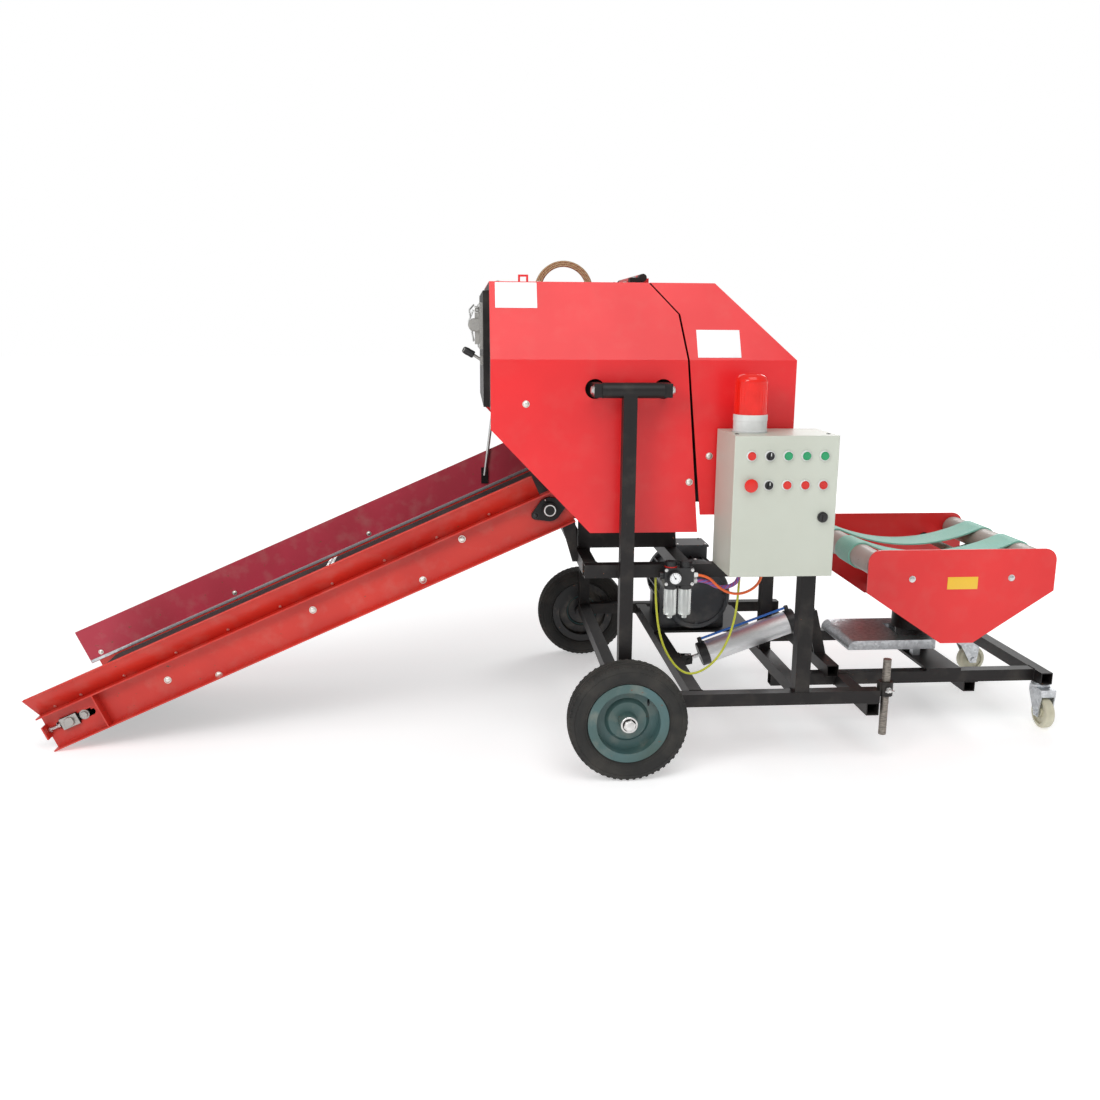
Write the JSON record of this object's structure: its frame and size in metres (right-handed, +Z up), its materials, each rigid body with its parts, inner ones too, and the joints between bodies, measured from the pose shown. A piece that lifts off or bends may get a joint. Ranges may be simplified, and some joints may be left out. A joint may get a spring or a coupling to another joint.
{
  "type": "round baler",
  "caption": "Stationary silage round baler on a towed wheeled frame: sloping feed conveyor, roller chamber under a hinged gate, and a turntable that wraps the bale.",
  "frame": {"origin": "middle of the footprint on the ground", "axes": "+Z up, +X from the feed conveyor to the wrapping table, +Y to the side away from the cabinet"},
  "size_m": [3.4647, 1.3866, 1.559],
  "materials": {
    "hood_red": "gloss paint",
    "conveyor_red": "gloss paint",
    "black_paint": "satin paint",
    "tyre_rubber": "moulded",
    "rim_teal": "gloss paint",
    "bare_steel": "turned",
    "rusty_steel": "surface rust",
    "zinc": "galvanised",
    "roller_paint": "satin paint",
    "belt_black": "smooth belt",
    "belt_green": "coated belt",
    "cabinet_grey": "powder coat",
    "control_plastic": "moulded",
    "beacon_grey": "moulded",
    "beacon_red": "clear red",
    "cylinder_alu": "anodised",
    "unit_black": "moulded",
    "bowl_clear": "clear",
    "motor_dark": "satin paint",
    "caster_tread": "cast",
    "twine": "twisted",
    "lead_green": "sleeved",
    "hose_orange": "sleeved",
    "lead_purple": "sleeved"
  },
  "bodies": {
    "frame": {"air_bowls": "bowl_clear", "air_hose": "hose_orange", "air_unit": "unit_black", "axle_beam": "black_paint", "beacon_base": "beacon_grey", "beacon_lens": "beacon_red", "cabinet_posts": "black_paint", "cabinet_shell": "cabinet_grey", "cable_bundle": "lead_purple", "chamber_plates": "black_paint", "conveyor_bearings": "zinc", "conveyor_belt": "belt_black", "conveyor_board": "conveyor_red", "conveyor_channels": "conveyor_red", "conveyor_deck": "conveyor_red", "conveyor_drums": "bare_steel", "conveyor_lip": "conveyor_red", "conveyor_stays": "black_paint", "cross_members": "black_paint", "cylinder_barrel": "cylinder_alu", "cylinder_rod": "bare_steel", "drive_cover": "zinc", "drive_mounts": "black_paint", "earth_lead": "lead_green", "front_panel": "black_paint", "front_rollers": "bare_steel", "hinge_pin": "black_paint", "hood_covers": "hood_red", "hood_roof": "hood_red", "longerons": "black_paint", "mid_beams": "black_paint", "motor": "motor_dark", "prop_collar": "bare_steel", "side_rails": "black_paint", "support_posts": "black_paint", "table_bearing": "black_paint", "tie_tubes": "black_paint", "twine_coil": "twine", "tying_unit": "zinc"},
    "near_wheel": {"near_tyre": "tyre_rubber", "near_rim": "rim_teal"},
    "far_wheel": {"far_tyre": "tyre_rubber", "far_rim": "rim_teal"},
    "gate": {"gate_covers": "hood_red", "gate_skin": "hood_red", "gate_plates": "black_paint", "gate_rollers": "bare_steel"},
    "wrapping_table": {"table_base": "black_paint", "table_plates": "hood_red", "table_rollers": "roller_paint", "table_belts": "belt_green"},
    "cabinet_front": {"cabinet_door": "cabinet_grey", "door_controls": "control_plastic"},
    "prop": {"prop_rod": "rusty_steel"},
    "near_caster_fork": {"near_fork": "zinc"},
    "near_caster_roller": {"near_caster_wheel": "caster_tread"},
    "far_caster_fork": {"far_fork": "zinc"},
    "far_caster_roller": {"far_caster_wheel": "caster_tread"}
  },
  "joints": [
    {"name": "near_wheel_spin", "type": "hinge", "parent": "frame", "child": "near_wheel", "pos_m": [0.1714, -0.60375, 0.18], "axis": [0, 1, 0], "continuous": true},
    {"name": "far_wheel_spin", "type": "hinge", "parent": "frame", "child": "far_wheel", "pos_m": [0.1714, 0.63725, 0.18], "axis": [0, 1, 0], "continuous": true},
    {"name": "gate_hinge", "type": "hinge", "parent": "frame", "child": "gate", "pos_m": [0.2514, 0.01675, 1.473], "axis": [0, -1, 0], "range_deg": [0, 65]},
    {"name": "table_spin", "type": "hinge", "parent": "frame", "child": "wrapping_table", "pos_m": [1.3074, 0.01675, 0.311], "axis": [0, 0, 1], "continuous": true},
    {"name": "cabinet_door_hinge", "type": "hinge", "parent": "frame", "child": "cabinet_front", "pos_m": [0.4444, -0.6575, 0.831], "axis": [0, 0, -1], "range_deg": [0, 110]},
    {"name": "prop_slide", "type": "slide", "parent": "frame", "child": "prop", "axis": [0, 0, 1], "range_m": [-0.08, 0.05]},
    {"name": "near_caster_swivel", "type": "hinge", "parent": "frame", "child": "near_caster_fork", "pos_m": [1.6474, -0.26525, 0.12], "axis": [0, 0, 1], "continuous": true},
    {"name": "near_caster_spin", "type": "hinge", "parent": "near_caster_fork", "child": "near_caster_roller", "pos_m": [1.6474, -0.29825, 0.052], "axis": [1, 0, 0], "continuous": true},
    {"name": "far_caster_swivel", "type": "hinge", "parent": "frame", "child": "far_caster_fork", "pos_m": [1.6474, 0.29875, 0.12], "axis": [0, 0, 1], "continuous": true},
    {"name": "far_caster_spin", "type": "hinge", "parent": "far_caster_fork", "child": "far_caster_roller", "pos_m": [1.6804, 0.29875, 0.052], "axis": [0, 1, 0], "continuous": true}
  ]
}
